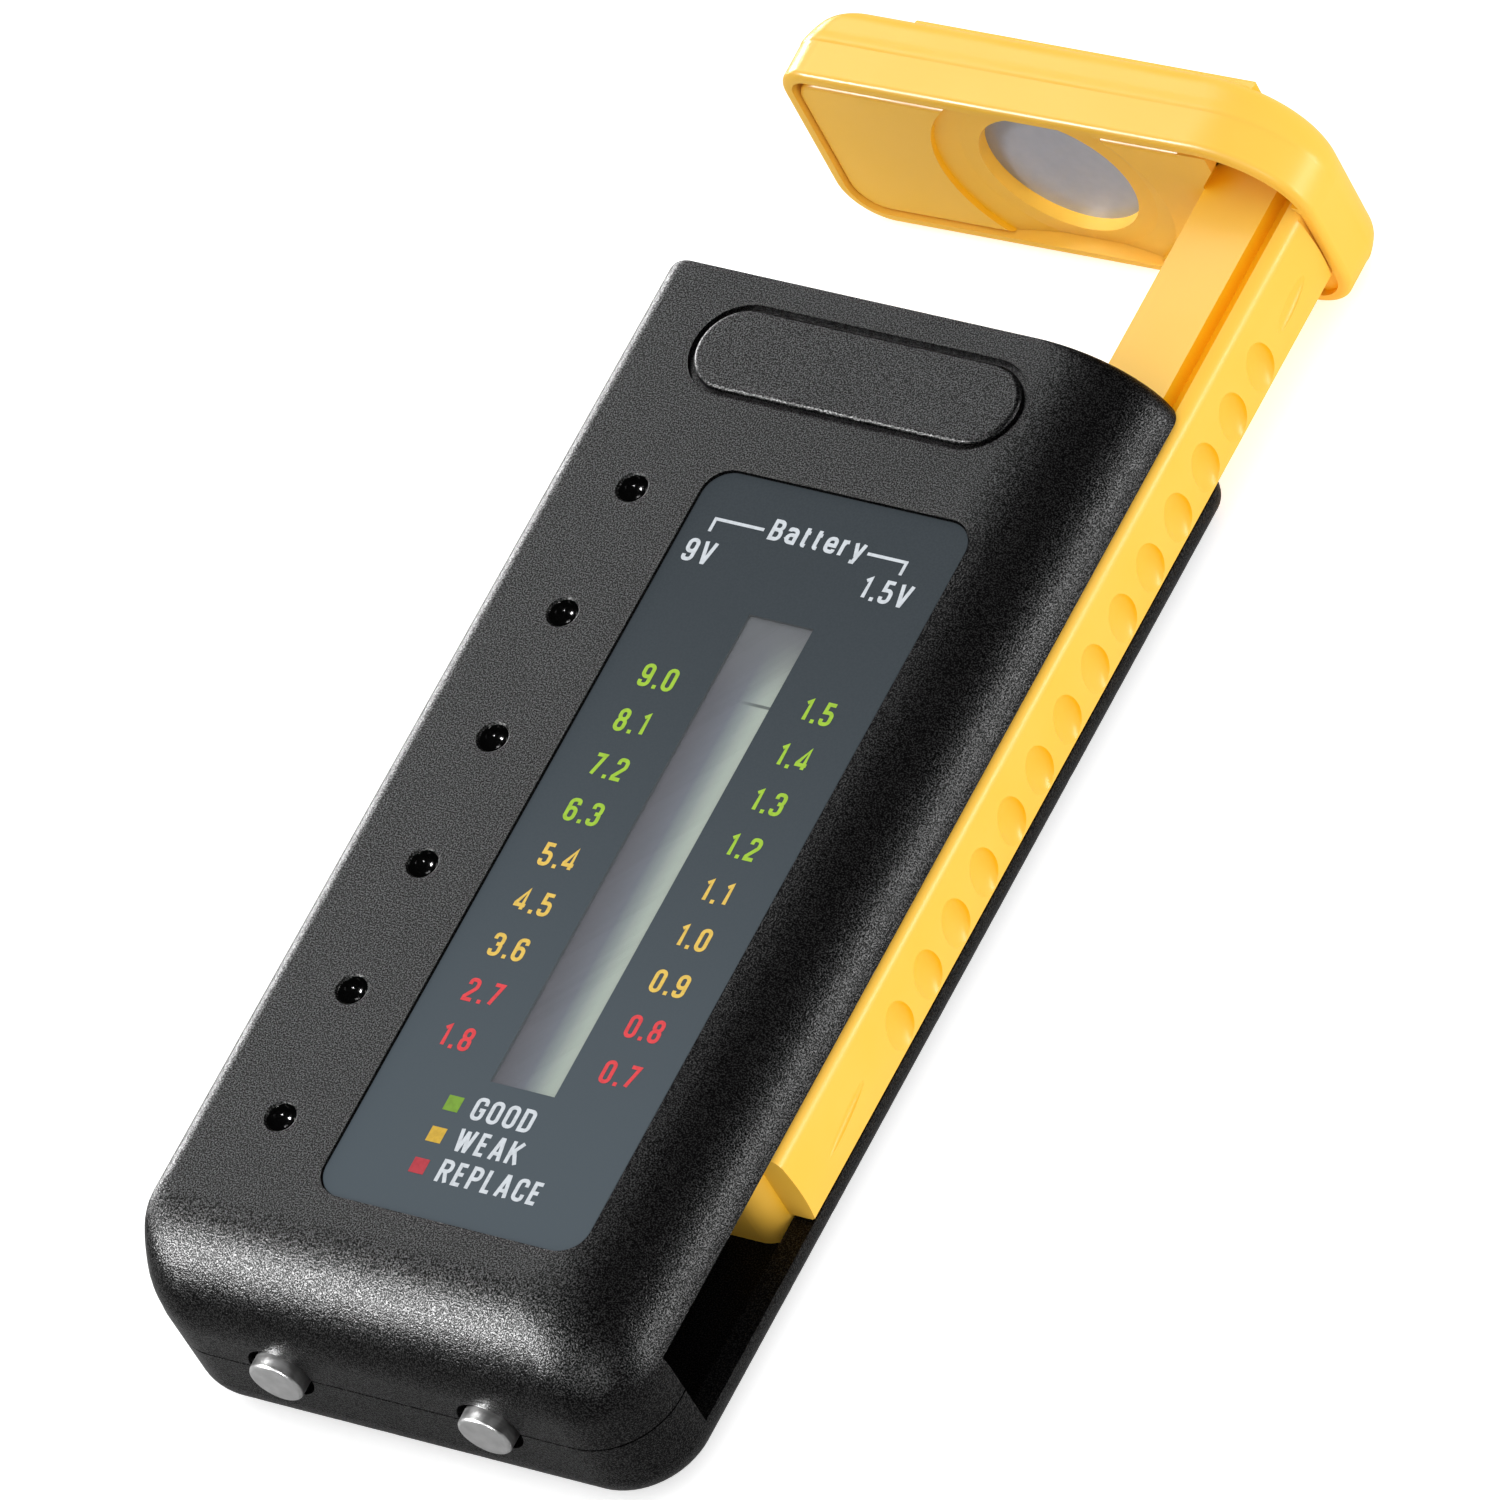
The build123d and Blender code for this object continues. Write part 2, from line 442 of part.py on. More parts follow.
os.makedirs("parts", exist_ok=True)
for name, shape in parts.items():
    export_step(shape, "parts/" + name + ".step")
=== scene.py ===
import math

import bmesh
import bpy
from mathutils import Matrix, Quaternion, Vector
from mathutils.geometry import delaunay_2d_cdt


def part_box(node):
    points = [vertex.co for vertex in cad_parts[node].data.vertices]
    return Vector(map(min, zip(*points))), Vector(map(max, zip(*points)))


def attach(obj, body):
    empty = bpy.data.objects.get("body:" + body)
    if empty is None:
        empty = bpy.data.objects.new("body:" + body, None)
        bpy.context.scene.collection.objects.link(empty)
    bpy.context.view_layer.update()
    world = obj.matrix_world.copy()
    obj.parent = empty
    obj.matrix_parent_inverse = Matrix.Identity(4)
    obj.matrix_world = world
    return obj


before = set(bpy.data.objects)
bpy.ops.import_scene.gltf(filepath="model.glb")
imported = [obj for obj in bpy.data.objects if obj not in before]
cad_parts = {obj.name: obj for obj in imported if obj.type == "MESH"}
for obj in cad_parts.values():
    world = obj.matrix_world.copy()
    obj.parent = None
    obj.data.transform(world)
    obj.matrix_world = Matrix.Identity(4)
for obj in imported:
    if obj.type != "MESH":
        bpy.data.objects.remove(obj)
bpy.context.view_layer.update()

MM = 0.001

# ---------------------------------------------------------------- places, from the frame
LABEL_LOW, LABEL_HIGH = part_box("gauge_label")
WINDOW_LOW, WINDOW_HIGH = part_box("display_window")
WINDOW_X = (WINDOW_LOW.x + WINDOW_HIGH.x) / 2 / MM
LABEL_TOP = LABEL_HIGH.z
DIMPLE_X, DIMPLE_Y = -16.5 * MM, -2.4 * MM      # middle of the row of dimples
# where the grain ends and the grain-free dimples are, which also get painted shade: away from that
# middle, and in height
DIMPLE_BAND_X = (1.75 * MM, 1.6 * MM)
DIMPLE_BAND_Y = (34.6 * MM, 34.4 * MM)
DIMPLE_BAND_Z = (LABEL_TOP + 0.12 * MM, LABEL_TOP + 0.02 * MM)

# ---------------------------------------------------------------- printed scale, in millimetres
INK_HEIGHT = 0.02
STROKE = 0.36
CAP = 2.3                       # height of a figure, outside its strokes
FIGURE_W = 1.15
LETTER_GAP = 0.4
CORNER = 0.38                   # radius of a round corner, along the middle of the stroke
CORNER_STEPS = 5
SAME_POINT = 1e-4               # points nearer than this are one
ON_EDGE = 1e-9                  # a point this little outside a triangle counts as inside
MITER_LIMIT = 1.6

SCALE_STEP = 4.63               # from one row of figures to the next
SCALE_TOP = 12.1                # baseline of the highest row
LEFT_X = WINDOW_X - 10.0        # where the figures of the left scale start
RIGHT_X = WINDOW_X + 6.2
RIGHT_LIFT = 0.25               # the right scale stands a little higher
LEFT_SCALE = ("9.0", "8.1", "7.2", "6.3", "5.4", "4.5", "3.6", "2.7", "1.8")
RIGHT_SCALE = ("1.5", "1.4", "1.3", "1.2", "1.1", "1.0", "0.9", "0.8", "0.7")
GREEN_ROWS, YELLOW_ROWS = 4, 3

TITLE_X, TITLE_Y, TITLE_CAP = -1.95, 28.3, 2.1
BRACKET_Y, BRACKET_DROP, BRACKET_STROKE = 29.1, 1.3, 0.3
LEFT_BRACKET = (-7.5, -2.6)
RIGHT_BRACKET = (11.85, 7.9)
NINE_X, NINE_Y = -8.8, 24.6
ONE_X, ONE_Y = 9.0, 24.8

LEGEND_X, LEGEND_Y, LEGEND_STEP, LEGEND_CAP = 0.15, -30.85, 3.15, 2.25
PATCH_X, PATCH, PATCH_LIFT = -2.6, 1.48, 0.3
LEGEND = (("GOOD", "green"), ("WEAK", "yellow"), ("REPLACE", "red"))

INKS = {
    "white": (0.60, 0.64, 0.68),
    "green": (0.33, 0.54, 0.045),
    "yellow": (0.74, 0.50, 0.10),
    "red": (0.70, 0.06, 0.07),
    "patch_green": (0.18, 0.33, 0.04),
    "patch_yellow": (0.60, 0.38, 0.05),
    "patch_red": (0.44, 0.045, 0.06),
}

# A glyph is its width, in figure widths, and its strokes, in a box one wide and one high.
# A third number rounds that corner. A stroke that starts with "loop" closes on itself.
GLYPHS = {
    "0": (1, [("loop", (0, 0, 1), (1, 0, 1), (1, 1, 1), (0, 1, 1))]),
    "1": (0.72, [((0.8, 0), (0.8, 1), (0.05, 0.84))]),
    "2": (1, [((0, 0.74), (0, 1, 1), (1, 1, 1), (1, 0.62, 1), (0, 0.12), (0, 0), (1, 0))]),
    "3": (1, [((0, 0.76), (0, 1, 1), (1, 1, 1), (1, 0.53, 1), (0.4, 0.53)),
              ((0.4, 0.53), (1, 0.53, 1), (1, 0, 1), (0, 0, 1), (0, 0.24))]),
    "4": (1.1, [((0.75, 0), (0.75, 1), (0, 0.3), (0, 0.22), (1.05, 0.22))]),
    "5": (1, [((0.95, 1), (0.06, 1), (0.03, 0.58), (1, 0.6, 1), (1, 0, 1), (0, 0, 1), (0, 0.24))]),
    "6": (1, [("loop", (0, 0, 1), (1, 0, 1), (1, 0.58, 1), (0, 0.58, 1)),
              ((0, 0.3), (0, 1, 1), (1, 1, 1), (1, 0.77))]),
    "7": (1, [((0, 1), (1, 1), (0.3, 0))]),
    "8": (1, [("loop", (0, 0, 1), (1, 0, 1), (1, 0.53, 1), (0, 0.53, 1)),
              ("loop", (0.04, 0.53, 1), (0.96, 0.53, 1), (0.96, 1, 1), (0.04, 1, 1))]),
    "9": (1, [("loop", (0, 0.42, 1), (1, 0.42, 1), (1, 1, 1), (0, 1, 1)),
              ((1, 0.7), (1, 0, 1), (0, 0, 1), (0, 0.23))]),
    ".": (0.34, [((0.5, -0.09), (0.5, 0.1))]),
    "A": (1.1, [((0, -0.08), (0.42, 1), (0.58, 1), (1, -0.08)), ((0.15, 0.26), (0.85, 0.26))]),
    "B": (1.05, [("loop", (0, 0), (1, 0, 1), (1, 0.53, 1), (0, 0.53)),
                 ("loop", (0, 0.53), (0.95, 0.53, 1), (0.95, 1, 1), (0, 1))]),
    "C": (1, [((1, 0.7), (1, 1, 1), (0, 1, 1), (0, 0, 1), (1, 0, 1), (1, 0.3))]),
    "D": (1.05, [("loop", (0, 0), (1, 0, 1), (1, 1, 1), (0, 1))]),
    "E": (0.9, [((1, 1), (0, 1), (0, 0), (1, 0)), ((0, 0.52), (0.9, 0.52))]),
    "G": (1.05, [((1, 0.72), (1, 1, 1), (0, 1, 1), (0, 0, 1), (1, 0, 1), (1, 0.46), (0.55, 0.46))]),
    "K": (1.1, [((0, -0.08), (0, 1.08)), ((1, 1.06), (0.05, 0.4)), ((0.36, 0.6), (1.02, -0.06))]),
    "L": (0.85, [((0, 1.08), (0, 0), (1, 0))]),
    "O": (1.05, [("loop", (0, 0, 1), (1, 0, 1), (1, 1, 1), (0, 1, 1))]),
    "P": (1, [((0, -0.08), (0, 1), (1, 1, 1), (1, 0.46, 1), (0, 0.46))]),
    "R": (1.05, [((0, -0.08), (0, 1), (1, 1, 1), (1, 0.5, 1), (0, 0.5)), ((0.5, 0.5), (1, -0.06))]),
    "V": (1.15, [((0, 1.06), (0.45, 0), (0.55, 0), (1, 1.06))]),
    "W": (1.55, [((0, 1.06), (0.24, 0), (0.28, 0), (0.48, 0.9), (0.52, 0.9), (0.72, 0), (0.76, 0),
                  (1, 1.06))]),
    "a": (0.98, [((0, 0.6), (0, 0.74, 1), (1, 0.74, 1), (1, -0.06)),
                 ("loop", (0, 0, 1), (1, 0), (1, 0.42), (0, 0.42, 1))]),
    "e": (1, [((0, 0.36), (1, 0.36), (1, 0.74, 1), (0, 0.74, 1), (0, 0, 1), (1, 0, 1), (1, 0.16))]),
    "r": (0.7, [((0, -0.08), (0, 0.82)), ((0, 0.5), (0.3, 0.7), (1, 0.74))]),
    "t": (0.7, [((0.3, 1), (0.3, 0, 1), (1, 0)), ((-0.15, 0.74), (1, 0.74))]),
    "y": (1.05, [((0, 0.8), (0.5, 0.02)), ((1, 0.8), (0.45, -0.27), (0.05, -0.27))]),
}


# ---------------------------------------------------------------- camera
AZIMUTH, ELEVATION, ROLL = 54.04, 48.42, -32.54
TARGET = Vector((-0.0002, 0.0139, 0.010))
DISTANCE = 2.006
LENS, SENSOR = 576, 36


def direction(azimuth, elevation):
    """Unit vector from the object; azimuth 0 is the -Y side and 90 the +X side."""
    a, e = math.radians(azimuth), math.radians(elevation)
    return Vector((math.sin(a) * math.cos(e), -math.cos(a) * math.cos(e), math.sin(e)))


def make_camera():
    camera = bpy.data.objects.new("camera", bpy.data.cameras.new("camera"))
    bpy.context.scene.collection.objects.link(camera)
    back = direction(AZIMUTH, ELEVATION)
    camera.data.lens = LENS
    camera.data.sensor_width = SENSOR
    camera.data.clip_end = 50
    camera.location = TARGET + back * DISTANCE
    camera.rotation_mode = "QUATERNION"
    roll = Quaternion((0, 0, 1), math.radians(ROLL))
    camera.rotation_quaternion = back.to_track_quat("Z", "Y") @ roll
    bpy.context.scene.camera = camera


# ---------------------------------------------------------------- material building blocks
RANGE_SOCKETS = ("From Min", "From Max", "To Min", "To Max")


class Look:
    """One procedural material under construction."""

    def __init__(self, name, roughness, metallic=0.0, specular=0.5):
        self.material = bpy.data.materials.new(name)
        self.material.use_nodes = True
        self.tree = self.material.node_tree
        self.shader = self.tree.nodes["Principled BSDF"]
        self.place = self.tree.nodes.new("ShaderNodeTexCoord").outputs["Object"]
        self.shader.inputs["Roughness"].default_value = roughness
        self.shader.inputs["Metallic"].default_value = metallic
        self.shader.inputs["Specular IOR Level"].default_value = specular

    def noise(self, scale, detail, stretch=(1, 1, 1)):
        """Noise with about `scale` lumps to the metre."""
        mapping = self.tree.nodes.new("ShaderNodeMapping")
        mapping.inputs["Scale"].default_value = stretch
        self.tree.links.new(self.place, mapping.inputs["Vector"])
        node = self.tree.nodes.new("ShaderNodeTexNoise")
        node.inputs["Scale"].default_value = scale
        node.inputs["Detail"].default_value = detail
        self.tree.links.new(mapping.outputs["Vector"], node.inputs["Vector"])
        return node.outputs["Fac"]

    def openness(self, reach):
        """1 in the open, lower where the piece's own surfaces stand within `reach`.

        Other pieces don't count, so a piece looks the same wherever it has slid to.
        """
        node = self.tree.nodes.new("ShaderNodeAmbientOcclusion")
        node.only_local = True
        node.inputs["Distance"].default_value = reach
        return node.outputs["AO"]

    def axis(self, name):
        """Place along one axis, in metres."""
        node = self.tree.nodes.new("ShaderNodeSeparateXYZ")
        self.tree.links.new(self.place, node.inputs["Vector"])
        return node.outputs[name]

    def ranged(self, value, low, high, out_low=0.0, out_high=1.0):
        node = self.tree.nodes.new("ShaderNodeMapRange")
        node.interpolation_type = "SMOOTHSTEP"
        for socket, number in zip(RANGE_SOCKETS, (low, high, out_low, out_high)):
            node.inputs[socket].default_value = number
        self.tree.links.new(value, node.inputs["Value"])
        return node.outputs["Result"]

    def math(self, kind, *values):
        node = self.tree.nodes.new("ShaderNodeMath")
        node.operation = kind
        for socket, value in zip(node.inputs, values):
            if isinstance(value, (int, float)):
                socket.default_value = value
            else:
                self.tree.links.new(value, socket)
        return node.outputs["Value"]

    def ramp(self, value, *stops):
        """Colour along `value`; each stop is (place, colour)."""
        node = self.tree.nodes.new("ShaderNodeValToRGB")
        elements = node.color_ramp.elements
        while len(elements) < len(stops):
            elements.new(0.5)
        for element, (place, colour) in zip(elements, stops):
            element.position = place
            element.color = (*colour, 1)
        self.tree.links.new(value, node.inputs["Fac"])
        return node.outputs["Color"]

    def mix(self, amount, first, second):
        node = self.tree.nodes.new("ShaderNodeMix")
        node.data_type = "RGBA"
        self.tree.links.new(amount, node.inputs["Factor"])
        colours = [s for s in node.inputs if s.type == "RGBA"]
        for socket, value in zip(colours, (first, second)):
            if isinstance(value, tuple):
                socket.default_value = (*value, 1)
            else:
                self.tree.links.new(value, socket)
        return [s for s in node.outputs if s.type == "RGBA"][0]

    def colour(self, value):
        self.tree.links.new(value, self.shader.inputs["Base Color"])

    def specular(self, value):
        self.tree.links.new(value, self.shader.inputs["Specular IOR Level"])

    def roughness(self, value):
        self.tree.links.new(value, self.shader.inputs["Roughness"])

    def distance(self, name, place):
        """How far along an axis from a place, in metres."""
        return self.math("ABSOLUTE", self.math("SUBTRACT", self.axis(name), place))

    def bump(self, height, depth, strength):
        node = self.tree.nodes.new("ShaderNodeBump")
        node.inputs["Distance"].default_value = depth
        node.inputs["Strength"].default_value = strength
        self.tree.links.new(height, node.inputs["Height"])
        self.tree.links.new(node.outputs["Normal"], self.shader.inputs["Normal"])


def black_plastic():
    """Spark-eroded grain, except in the grain-free glossy dimples, which are also painted a flat,
    slightly darker black as shade.
    """
    look = Look("black_plastic", 0.37)
    grain = look.noise(7500, 1.0)
    look.specular(look.ranged(grain, 0.42, 0.7, 0.04, 0.3))
    beside = look.ranged(look.distance("X", DIMPLE_X), *DIMPLE_BAND_X)
    along = look.ranged(look.distance("Y", DIMPLE_Y), *DIMPLE_BAND_Y)
    sunk = look.ranged(look.axis("Z"), *DIMPLE_BAND_Z)
    dimple_smooth_and_shade = look.math("MULTIPLY", look.math("MULTIPLY", beside, sunk), along)
    grained = look.ramp(grain, (0.42, (0.0008, 0.0008, 0.001)), (0.66, (0.006, 0.0059, 0.0058)))
    # painted shade: the dimples take a flat black, a little darker than the grain around them
    look.colour(look.mix(dimple_smooth_and_shade, grained, (0.002, 0.002, 0.002)))
    matt = look.ranged(grain, 0.35, 0.65, 0.29, 0.37)
    look.roughness(look.math("SUBTRACT", matt, look.math("MULTIPLY", dimple_smooth_and_shade, 0.22)))
    look.bump(look.math("MULTIPLY", grain, look.math("SUBTRACT", 1, dimple_smooth_and_shade)), 0.00006, 0.8)
    return look.material


def yellow_plastic():
    """Painted shade: a deeper amber colour where the piece's own walls close in, in grooves, notches and
    hollows.
    """
    look = Look("yellow_plastic", 0.36, specular=0.12)
    drift = look.noise(110, 2)
    fine = look.noise(2600, 2)
    open_colour = look.ramp(drift, (0.35, (0.92, 0.525, 0.06)), (0.65, (0.94, 0.54, 0.072)))
    # painted shade: the ambient occlusion mixes in amber (0.97, 0.52, 0.010) where light gets lost
    # between the walls
    shade = look.ranged(look.openness(3 * MM), 0.55, 0.97)
    look.colour(look.mix(shade, (0.97, 0.52, 0.010), open_colour))
    look.roughness(look.ranged(drift, 0.3, 0.7, 0.32, 0.4))
    look.bump(fine, 0.00001, 0.2)
    return look.material


def label_film():
    look = Look("label_film", 0.42, specular=0.01)
    along = look.ranged(look.axis("Y"), LABEL_LOW.y, LABEL_HIGH.y)
    # painted light: the film is lighter towards the bottom, where the key lamp's highlight falls nearer
    film = look.ramp(along, (0.0, (0.072, 0.091, 0.106)), (1.0, (0.037, 0.046, 0.053)))
    grain = look.noise(5200, 2)
    look.colour(look.mix(look.ranged(grain, 0.3, 0.7, 0.0, 0.1), film, (0.09, 0.1, 0.115)))
    look.bump(grain, 0.000004, 0.3)
    return look.material


def lcd_panel():
    look = Look("lcd_panel", 0.35, specular=0.0)
    across = look.ranged(look.axis("X"), WINDOW_LOW.x, WINDOW_HIGH.x)
    along = look.axis("Y")
    # painted light: the panel brightens and turns greener from its left edge to its right edge, where
    # the lamps catch it
    painted_light_across = look.ramp(
        across,
        (0.0, (0.102, 0.102, 0.120)),
        (0.45, (0.145, 0.160, 0.192)),
        (0.72, (0.25, 0.29, 0.285)),
        (1.0, (0.43, 0.49, 0.43)))
    lit = look.ranged(along, WINDOW_HIGH.y, WINDOW_HIGH.y - 9 * MM)
    panel = look.mix(lit, (0.135, 0.142, 0.155), painted_light_across)
    bar_y = SCALE_TOP + CAP / 2 - 0.3
    above = look.ranged(along, (bar_y - 0.2) * MM, (bar_y - 0.08) * MM)
    below = look.ranged(along, (bar_y + 0.2) * MM, (bar_y + 0.08) * MM)
    fade = look.ranged(look.axis("X"), (WINDOW_X - 0.4) * MM, (WINDOW_X + 2.0) * MM, 0.0, 0.75)
    bar = look.math("MULTIPLY", look.math("MULTIPLY", above, below), fade)
    look.colour(look.mix(bar, panel, (0.03, 0.04, 0.045)))
    look.bump(look.noise(2200, 1), 0.000003, 0.2)
    return look.material


def clear_pane():
    look = Look("clear_pane", 0.3, specular=0.02)
    tint = look.noise(400, 1)
    look.colour(look.ramp(tint, (0.4, (0.5, 0.52, 0.53)), (0.6, (0.54, 0.55, 0.56))))
    look.shader.inputs["Alpha"].default_value = 0.08
    return look.material


def nickel():
    look = Look("nickel", 0.34, metallic=1.0)
    brushed = look.noise(900, 3, (1, 6, 1))
    look.colour(look.ramp(brushed, (0.3, (0.37, 0.37, 0.37)), (0.7, (0.46, 0.46, 0.46))))
    look.roughness(look.ranged(look.noise(1500, 3), 0.3, 0.7, 0.3, 0.38))
    look.bump(brushed, 0.000004, 0.3)
    return look.material


def satin_disc():
    look = Look("satin_disc", 0.45, metallic=0.6)
    cloudy = look.noise(900, 3)
    look.colour(look.ramp(cloudy, (0.3, (0.36, 0.38, 0.44)), (0.7, (0.39, 0.41, 0.47))))
    look.bump(cloudy, 0.000002, 0.2)
    return look.material


def spring_brass():
    look = Look("spring_brass", 0.28, metallic=1.0)
    drift = look.noise(600, 3)
    look.colour(look.ramp(drift, (0.35, (0.62, 0.43, 0.19)), (0.65, (0.74, 0.55, 0.28))))
    look.roughness(look.ranged(look.noise(1500, 2), 0.3, 0.7, 0.22, 0.36))
    return look.material


def screw_steel():
    look = Look("screw_steel", 0.35, metallic=1.0)
    turned = look.noise(1200, 3, (1, 1, 5))
    look.colour(look.ramp(turned, (0.3, (0.34, 0.34, 0.35)), (0.7, (0.5, 0.5, 0.51))))
    look.bump(turned, 0.000005, 0.4)
    return look.material


def speckled(name, low, high, roughness, metallic=0.0):
    """A plain moulded, cast or rolled surface with a little grain."""
    look = Look(name, roughness, metallic)
    grain = look.noise(1500, 2)
    look.colour(look.ramp(grain, (0.35, low), (0.65, high)))
    look.bump(grain, 0.000006, 0.4)
    return look.material


def circuit_green():
    look = Look("circuit_green", 0.3)
    tracks = look.noise(420, 0, (1, 0.15, 1))
    look.colour(look.ramp(tracks, (0.48, (0.012, 0.09, 0.03)), (0.5, (0.03, 0.17, 0.06))))
    look.bump(tracks, 0.00002, 0.5)
    return look.material


def ink(name, colour):
    look = Look("ink_" + name, 0.45, specular=0.02)
    cover = look.noise(2400, 2)
    thin = tuple(c * 0.86 for c in colour)
    look.colour(look.ramp(cover, (0.3, thin), (0.6, colour)))
    return look.material


def dress_nodes():
    """Gives every CAD node its finish."""
    black, yellow, metal, brass = black_plastic(), yellow_plastic(), nickel(), spring_brass()
    ceramic = speckled("tan_ceramic", (0.36, 0.25, 0.15), (0.46, 0.33, 0.2), 0.5)
    resin = speckled("black_resin", (0.008, 0.008, 0.008), (0.016, 0.016, 0.016), 0.22)
    finishes = {
        "front_shell": black,
        "rear_shell": black,
        "gauge_label": label_film(),
        "display_window": clear_pane(),
        "lcd_panel": lcd_panel(),
        "lcd_reflector": speckled("foil", (0.6, 0.61, 0.62), (0.7, 0.7, 0.71), 0.35, metallic=1.0),
        "lcd_holder": speckled("white_plastic", (0.66, 0.66, 0.64), (0.74, 0.74, 0.72), 0.45),
        "zebra_strip": speckled("contact_rubber", (0.012, 0.012, 0.012), (0.03, 0.03, 0.03), 0.7),
        "circuit_board": circuit_green(),
        "chip_cover": resin,
        "chip_resistors": resin,
        "chip_capacitors": ceramic,
        "load_resistor": ceramic,
        "base_contact": metal,
        "stud_left": metal,
        "stud_right": metal,
        "wiper_spring": brass,
        "stud_clip_left": brass,
        "stud_clip_right": brass,
        "contact_strip": brass,
        "case_screws": screw_steel(),
        "arm_bracket": yellow,
        "cap_shell": yellow,
        "contact_disc": satin_disc(),
    }
    for name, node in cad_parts.items():
        node.data.materials.clear()
        node.data.materials.append(finishes[name])


# ---------------------------------------------------------------- lettering
def rounded(corners, closed):
    """Points along a stroke, with its marked corners turned into arcs."""
    points = []
    count = len(corners)
    for i, corner in enumerate(corners):
        here = Vector(corner[:2])
        inner = closed or 0 < i < count - 1
        if len(corner) == 2 or not inner:
            points.append(here)
            continue
        before = Vector(corners[i - 1][:2]) - here
        after = Vector(corners[(i + 1) % count][:2]) - here
        half = before.angle(after) / 2
        reach = min(CORNER / math.tan(half), before.length / 2, after.length / 2)
        radius = reach * math.tan(half)
        start, end = here + before.normalized() * reach, here + after.normalized() * reach
        centre = here + (before.normalized() + after.normalized()).normalized() * radius / math.sin(half)
        first = math.atan2(*(start - centre).yx)
        turn = math.remainder(math.atan2(*(end - centre).yx) - first, math.tau)
        for step in range(CORNER_STEPS + 1):
            angle = first + turn * step / CORNER_STEPS
            points.append(centre + Vector((math.cos(angle), math.sin(angle))) * radius)
    return [p for i, p in enumerate(points) if i == 0 or (p - points[i - 1]).length > SAME_POINT]


def ribbon(points, closed, width):
    """Quads along a line of points, mitred where it turns."""
    count = len(points)
    sides = []
    for i, here in enumerate(points):
        before = here - points[i - 1] if closed or i else points[1] - here
        after = points[(i + 1) % count] - here if closed or i < count - 1 else before
        before, after = before.normalized(), after.normalized()
        across = (before.orthogonal() + after.orthogonal()).normalized()
        reach = min(1 / max(across.dot(before.orthogonal()), 0.1), MITER_LIMIT)
        sides.append((here + across * reach * width / 2, here - across * reach * width / 2))
    pairs = zip(sides, sides[1:] + sides[:1] if closed else sides[1:])
    return [[b[1], b[0], a[0], a[1]] for a, b in pairs]


def lettered(word, x, baseline, cap=CAP):
    """One shape for each letter of a word that starts at x and stands on the baseline."""
    shapes = []
    for letter in word:
        wide, strokes = GLYPHS[letter]
        across, up = wide * FIGURE_W - STROKE, cap - STROKE
        left, foot = x + STROKE / 2, baseline + STROKE / 2
        quads = []
        for stroke in strokes:
            closed = stroke[0] == "loop"
            corners = [(left + c[0] * across, foot + c[1] * up, *c[2:]) for c in stroke[closed:]]
            quads += ribbon(rounded(corners, closed), closed, STROKE)
        shapes.append(quads)
        x += wide * FIGURE_W + LETTER_GAP
    return shapes


def covers(quad, point):
    """True if the point is in either triangle of the quad."""
    for a, b, c in ((quad[0], quad[1], quad[2]), (quad[0], quad[2], quad[3])):
        turns = [(q - p).cross(point - p) for p, q in ((a, b), (b, c), (c, a))]
        if min(turns) > -ON_EDGE or max(turns) < ON_EDGE:
            return True
    return False


def joined(quads):
    """Triangles that cover the same area as quads that may overlap, without overlapping."""
    points = [p for quad in quads for p in quad]
    edges = [(i + k, i + (k + 1) % 4) for i in range(0, len(points), 4) for k in range(4)]
    found, _, areas, *_ = delaunay_2d_cdt(points, edges, [], 0, SAME_POINT)
    triangles = [[found[i] for i in area] for area in areas]
    return [t for t in triangles if any(covers(quad, sum(t, Vector((0, 0))) / 3) for quad in quads)]


def printed(name, shapes, colour):
    """One flat film of ink over the label, from shapes of quads."""
    mesh = bmesh.new()
    for shape in shapes:
        for triangle in joined(shape):
            mesh.faces.new([mesh.verts.new((p.x * MM, p.y * MM, LABEL_TOP)) for p in triangle])
    bmesh.ops.remove_doubles(mesh, verts=mesh.verts, dist=SAME_POINT * MM)
    bmesh.ops.recalc_face_normals(mesh, faces=mesh.faces)
    raised = bmesh.ops.extrude_face_region(mesh, geom=mesh.faces[:])["geom"]
    lifted = [g for g in raised if isinstance(g, bmesh.types.BMVert)]
    bmesh.ops.translate(mesh, verts=lifted, vec=(0, 0, INK_HEIGHT * MM))
    bmesh.ops.recalc_face_normals(mesh, faces=mesh.faces)
    data = bpy.data.meshes.new(name)
    mesh.to_mesh(data)
    mesh.free()
    data.materials.append(colour)
    piece = bpy.data.objects.new(name, data)
    bpy.context.scene.collection.objects.link(piece)
    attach(piece, "housing")


def bracket(outer, inner):
    corners = [(outer, BRACKET_Y - BRACKET_DROP), (outer, BRACKET_Y), (inner, BRACKET_Y)]
    return [ribbon([Vector(c) for c in corners], False, BRACKET_STROKE)]


def patch(y):
    corners = [(PATCH_X, y), (PATCH_X + PATCH, y), (PATCH_X + PATCH, y + PATCH), (PATCH_X, y + PATCH)]
    return [[[Vector(c) for c in corners]]]


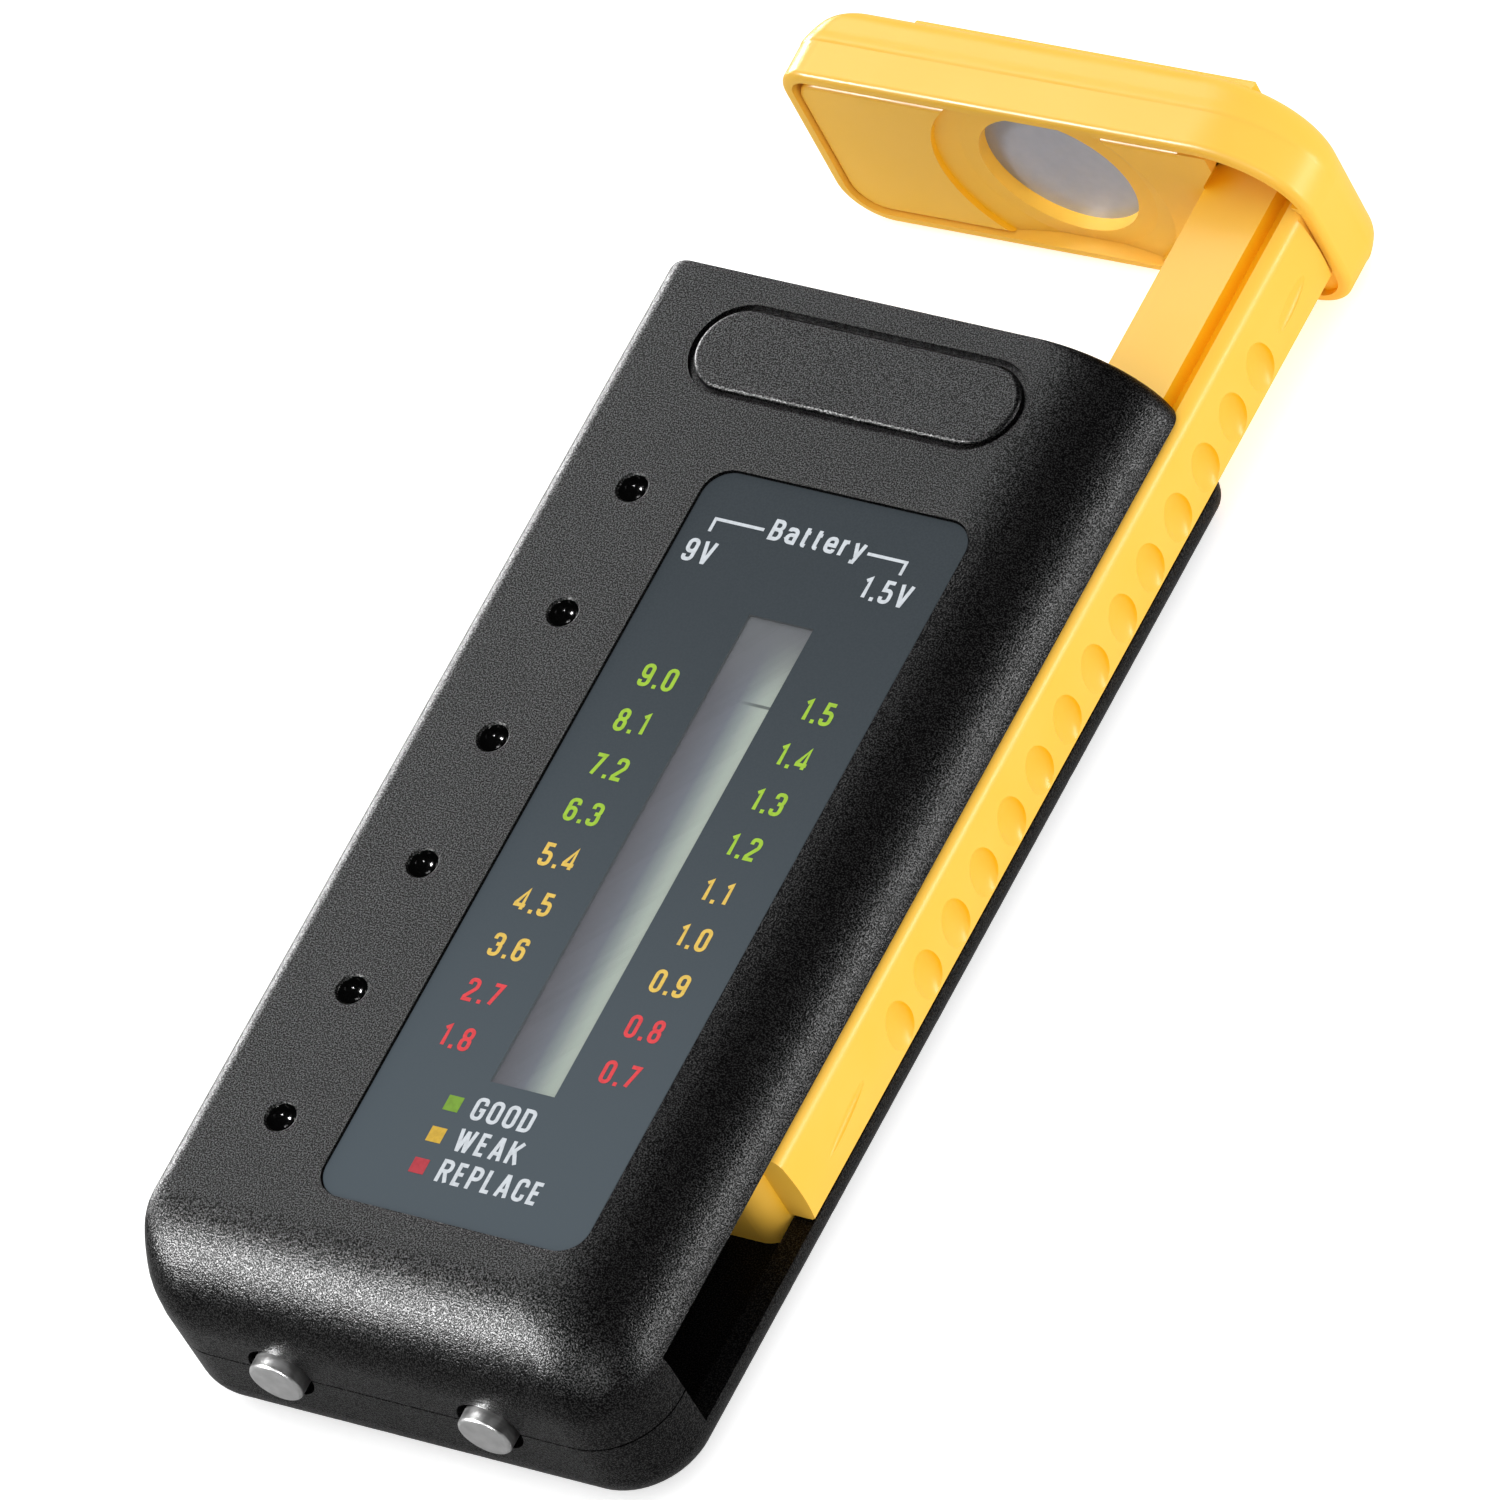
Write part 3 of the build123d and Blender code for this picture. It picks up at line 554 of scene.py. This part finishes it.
def print_scale():
    shapes = {name: [] for name in INKS}
    rows = ["green"] * GREEN_ROWS + ["yellow"] * YELLOW_ROWS
    rows += ["red"] * (len(LEFT_SCALE) - len(rows))
    for i, (row, left, right) in enumerate(zip(rows, LEFT_SCALE, RIGHT_SCALE)):
        baseline = SCALE_TOP - i * SCALE_STEP
        shapes[row] += lettered(left, LEFT_X, baseline)
        shapes[row] += lettered(right, RIGHT_X, baseline + RIGHT_LIFT)
    shapes["white"] += lettered("Battery", TITLE_X, TITLE_Y, cap=TITLE_CAP)
    shapes["white"] += lettered("9V", NINE_X, NINE_Y)
    shapes["white"] += lettered("1.5V", ONE_X, ONE_Y)
    shapes["white"] += bracket(*LEFT_BRACKET) + bracket(*RIGHT_BRACKET)
    for i, (word, colour) in enumerate(LEGEND):
        baseline = LEGEND_Y - i * LEGEND_STEP
        shapes["white"] += lettered(word, LEGEND_X, baseline, cap=LEGEND_CAP)
        shapes["patch_" + colour] += patch(baseline + PATCH_LIFT)
    for name, colour in INKS.items():
        printed("print_" + name, shapes[name], ink(name, colour))


# ---------------------------------------------------------------- studio
FLOOR_HALF = 3.0
FILL_FROM = (0.25, 0.55, 0.8)    # the side the fill is brighter on
FILL_LOW, FILL_HIGH = 0.42, 1.28
FILL_SPREAD = 0.6               # how soft the change from one to the other is
MIRRORED_WORLD, MIRRORED_FLOOR = 0.03, 0.62     # brightness in reflections
FLOOR_GLOW = 0.55               # keeps the shadow beside the part faint
LIGHTS = (
    # name, azimuth, elevation, distance, width, height, watts
    ("key", -48, 45, 0.9, 0.2, 0.2, 52.0),
    ("plane", -128, 46, 1.0, 0.44, 0.34, 6.0),
    ("left", -112, 6, 0.9, 0.5, 0.3, 26.0),
    ("right", 112, 6, 0.9, 0.5, 0.2, 14.0),
    ("corner", 36, 38, 1.0, 0.08, 0.08, 8.0),
)


def floor_paper():
    """White to the camera, dimmer where the part mirrors it."""
    look = Look("floor", 0.9, specular=0.0)
    fibre = look.noise(40, 2)
    mirrored = look.tree.nodes.new("ShaderNodeLightPath").outputs["Is Glossy Ray"]
    paper = look.ramp(fibre, (0.35, (0.84, 0.84, 0.84)), (0.65, (0.86, 0.86, 0.86)))
    look.colour(look.mix(mirrored, paper, (MIRRORED_FLOOR,) * 3))
    look.shader.inputs["Emission Color"].default_value = (1, 1, 1, 1)
    glow = look.ranged(mirrored, 0, 1, FLOOR_GLOW, 0)
    look.tree.links.new(glow, look.shader.inputs["Emission Strength"])
    return look.material


def make_studio():
    bpy.ops.mesh.primitive_grid_add(x_subdivisions=8, y_subdivisions=8, size=2 * FLOOR_HALF)
    floor = bpy.context.object
    floor.name = "floor"
    floor.data.materials.append(floor_paper())
    for name, azimuth, elevation, distance, width, height, watts in LIGHTS:
        lamp = bpy.data.lights.new(name, "AREA")
        lamp.shape = "RECTANGLE"
        lamp.size, lamp.size_y = width, height
        lamp.energy = watts
        holder = bpy.data.objects.new(name, lamp)
        bpy.context.scene.collection.objects.link(holder)
        holder.visible_diffuse = False
        away = direction(azimuth, elevation)
        holder.location = away * distance
        holder.rotation_mode = "QUATERNION"
        holder.rotation_quaternion = away.to_track_quat("Z", "Y")


def make_world():
    """Soft fill from above and behind, and dim in reflections, as a dark studio is."""
    world = bpy.data.worlds.new("studio")
    world.use_nodes = True
    bpy.context.scene.world = world
    tree = world.node_tree
    toward = tree.nodes.new("ShaderNodeVectorMath")
    toward.operation = "DOT_PRODUCT"
    toward.inputs[1].default_value = FILL_FROM
    tree.links.new(tree.nodes.new("ShaderNodeTexCoord").outputs["Generated"], toward.inputs[0])
    fill = tree.nodes.new("ShaderNodeMapRange")
    for socket, number in zip(RANGE_SOCKETS, (-FILL_SPREAD, FILL_SPREAD, FILL_LOW, FILL_HIGH)):
        fill.inputs[socket].default_value = number
    tree.links.new(toward.outputs["Value"], fill.inputs["Value"])
    level = tree.nodes.new("ShaderNodeMapRange")
    level.inputs["To Max"].default_value = MIRRORED_WORLD
    tree.links.new(fill.outputs["Result"], level.inputs["To Min"])
    tree.links.new(tree.nodes.new("ShaderNodeLightPath").outputs["Is Glossy Ray"], level.inputs["Value"])
    tree.links.new(level.outputs["Result"], tree.nodes["Background"].inputs["Strength"])
    tree.nodes["Background"].inputs["Color"].default_value = (1, 1, 1, 1)
    bpy.context.scene.view_settings.view_transform = "Standard"


make_camera()
dress_nodes()
print_scale()
make_studio()
make_world()
